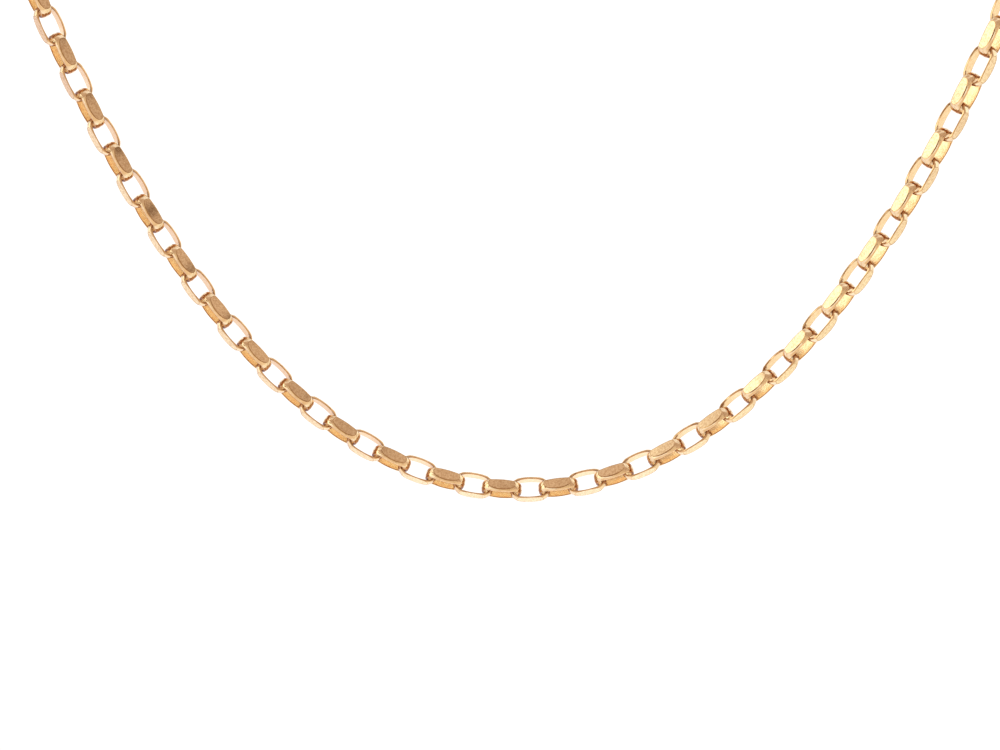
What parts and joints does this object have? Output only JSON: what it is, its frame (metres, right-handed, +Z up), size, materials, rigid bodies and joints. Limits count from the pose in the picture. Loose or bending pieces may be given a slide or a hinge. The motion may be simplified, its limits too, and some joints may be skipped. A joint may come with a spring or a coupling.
{
  "type": "rolo chain necklace",
  "caption": "Necklace of oval rolo links in polished gold, each link cut with two flat facets, closed by a plain ring clasp and held in the form it has when worn.",
  "frame": {"origin": "on the chain's line at the nape, where the back of a neck holds the necklace", "axes": "+Z up, +X to the viewer's right as the necklace is seen from the front, the hanging front faces -Y"},
  "size_m": [0.1236, 0.0977, 0.091],
  "materials": {
    "gold": "polished"
  },
  "bodies": {
    "root": {"chain_left": "gold", "chain_right": "gold", "clasp": "gold"}
  },
  "joints": []
}
